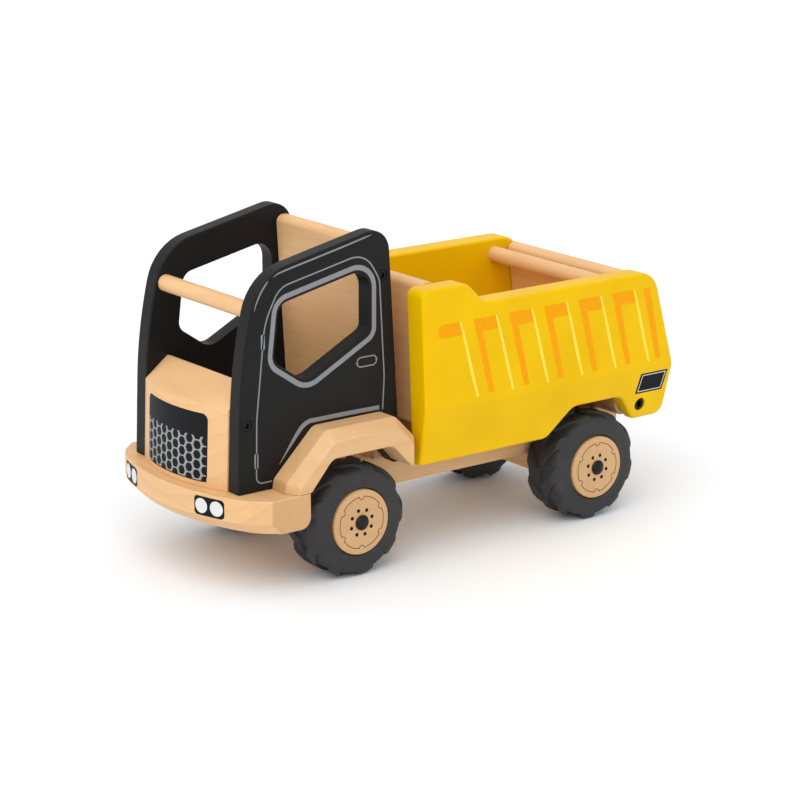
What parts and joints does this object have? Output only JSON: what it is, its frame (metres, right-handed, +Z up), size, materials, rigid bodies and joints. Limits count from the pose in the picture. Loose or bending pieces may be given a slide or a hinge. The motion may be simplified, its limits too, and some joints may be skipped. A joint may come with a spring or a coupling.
{
  "type": "toy dump truck",
  "caption": "Wooden toy tipper truck with an open black cab, a yellow load box that tips back on a hinge, a swinging tailgate and free-turning rubber-tyred wheels.",
  "frame": {"origin": "on the ground under the middle of the truck's length and width", "axes": "+X forwards out of the bumper, +Y to the truck's left, +Z up"},
  "size_m": [0.3304, 0.1488, 0.2011],
  "materials": {
    "frame_wood": "clear satin lacquer over pale straight-grained wood",
    "body_wood": "clear satin lacquer over pale straight-grained wood",
    "dowel_wood": "clear satin lacquer",
    "hub_wood": "clear satin lacquer, turned",
    "cab_paint": "satin black paint with silver-grey printed lines",
    "box_paint": "satin yellow paint with orange printed stripes",
    "tyre_rubber": "matt moulded rubber",
    "axle_steel": "bright drawn",
    "black_screw": "black oxide",
    "insert_brass": "turned"
  },
  "bodies": {
    "truck": {"chassis_plank": "frame_wood", "front_axle_block": "frame_wood", "rear_axle_block": "frame_wood", "bumper": "frame_wood", "bumper_dowels": "dowel_wood", "grille_block": "body_wood", "cab_side_left": "cab_paint", "cab_side_right": "cab_paint", "cab_back_panel": "body_wood", "windscreen_dowel": "dowel_wood", "mudguard_left": "body_wood", "mudguard_right": "body_wood", "mudguard_dowels": "dowel_wood", "cab_screws": "black_screw", "chassis_screws": "axle_steel", "tipper_rest_block": "frame_wood", "pivot_beam": "frame_wood", "pivot_inserts": "insert_brass", "pivot_bolts": "black_screw", "pivot_washers": "axle_steel", "front_axle": "axle_steel", "rear_axle": "axle_steel", "axle_caps": "black_screw", "axle_washers": "axle_steel"},
    "tipper": {"box_side_left": "box_paint", "box_side_right": "box_paint", "box_floor": "body_wood", "bulkhead": "body_wood", "box_dowel": "dowel_wood", "box_pegs": "dowel_wood", "tailgate_pins": "axle_steel"},
    "tailgate": {"tailgate": "body_wood"},
    "wheel_front_left": {"hub_front_left": "hub_wood", "tyre_front_left": "tyre_rubber"},
    "wheel_front_right": {"hub_front_right": "hub_wood", "tyre_front_right": "tyre_rubber"},
    "wheel_rear_left": {"hub_rear_left": "hub_wood", "tyre_rear_left": "tyre_rubber"},
    "wheel_rear_right": {"hub_rear_right": "hub_wood", "tyre_rear_right": "tyre_rubber"}
  },
  "joints": [
    {"name": "tipper_hinge", "type": "hinge", "parent": "truck", "child": "tipper", "pos_m": [-0.14285, 0, 0.0689], "axis": [0, -1, 0], "range_deg": [0, 48]},
    {"name": "tailgate_hinge", "type": "hinge", "parent": "tipper", "child": "tailgate", "pos_m": [-0.14485, 0, 0.145], "axis": [0, 1, 0], "range_deg": [0, 100]},
    {"name": "wheel_front_left_spin", "type": "hinge", "parent": "truck", "child": "wheel_front_left", "pos_m": [0.07215, 0.0542, 0.034], "axis": [0, 1, 0], "continuous": true},
    {"name": "wheel_front_right_spin", "type": "hinge", "parent": "truck", "child": "wheel_front_right", "pos_m": [0.07215, -0.0542, 0.034], "axis": [0, 1, 0], "continuous": true},
    {"name": "wheel_rear_left_spin", "type": "hinge", "parent": "truck", "child": "wheel_rear_left", "pos_m": [-0.10885, 0.0542, 0.034], "axis": [0, 1, 0], "continuous": true},
    {"name": "wheel_rear_right_spin", "type": "hinge", "parent": "truck", "child": "wheel_rear_right", "pos_m": [-0.10885, -0.0542, 0.034], "axis": [0, 1, 0], "continuous": true}
  ]
}
